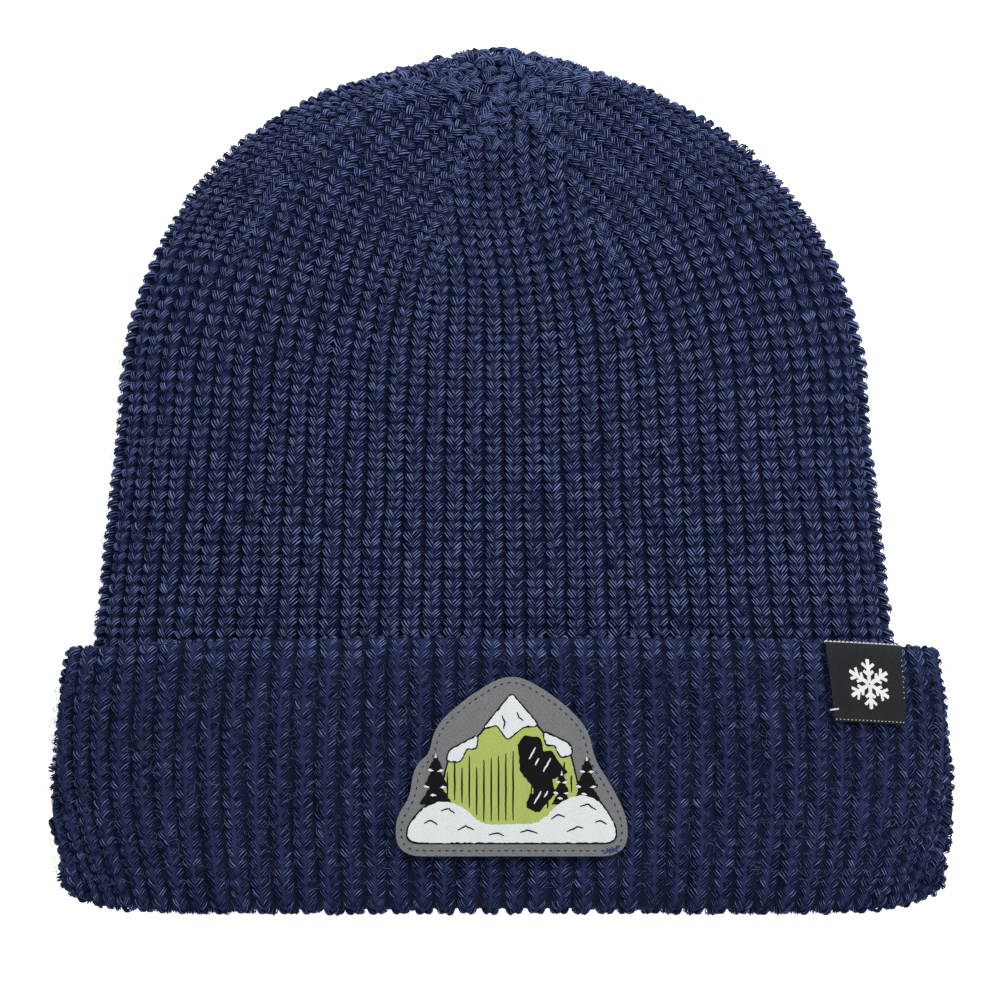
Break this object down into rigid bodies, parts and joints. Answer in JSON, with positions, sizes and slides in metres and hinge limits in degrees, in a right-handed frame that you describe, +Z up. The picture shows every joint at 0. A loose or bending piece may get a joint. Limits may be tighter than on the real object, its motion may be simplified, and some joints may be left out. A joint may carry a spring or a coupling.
{
  "type": "knit beanie",
  "caption": "Chunky rib-knit cuffed beanie lying flat, with a darted crown, a die-cut badge on the cuff and a folded side label.",
  "frame": {"origin": "middle of the hat's box on the ground, with the hat lying flat on its back", "axes": "+X across the hat to the side with the label, +Y from the hem to the crown, +Z up out of the front face"},
  "size_m": [0.22, 0.2091, 0.0301],
  "materials": {
    "navy_knit": "navy soft-spun yarn, chunky 1x1 rib",
    "linking_yarn": "the same navy yarn, linked",
    "badge_felt": "dark grey non-woven backing",
    "badge_twill": "grey woven twill",
    "badge_green": "light green woven satin",
    "badge_white": "white woven satin",
    "badge_black": "black woven satin",
    "badge_thread": "grey polyester sewing thread",
    "tack_thread": "blue sewing thread",
    "label_ribbon": "black damask ribbon with a fine diagonal twill",
    "label_white": "white woven thread"
  },
  "bodies": {
    "root": {"inner_band": "navy_knit", "hem_fold": "navy_knit", "cuff": "navy_knit", "cuff_bind_off": "navy_knit", "knit_body": "navy_knit", "crown_front": "navy_knit", "crown_front_right": "navy_knit", "crown_right": "navy_knit", "crown_back_right": "navy_knit", "crown_back": "navy_knit", "crown_back_left": "navy_knit", "crown_left": "navy_knit", "crown_front_left": "navy_knit", "crown_dart_seams": "linking_yarn", "crown_tie": "linking_yarn", "back_seam": "linking_yarn", "badge_backing": "badge_felt", "badge_ground": "badge_twill", "badge_peak": "badge_green", "badge_snow": "badge_white", "badge_pines": "badge_black", "badge_stitching": "badge_thread", "badge_tack": "tack_thread", "side_label": "label_ribbon", "label_emblem": "label_white", "label_stitching": "label_white"}
  },
  "joints": []
}
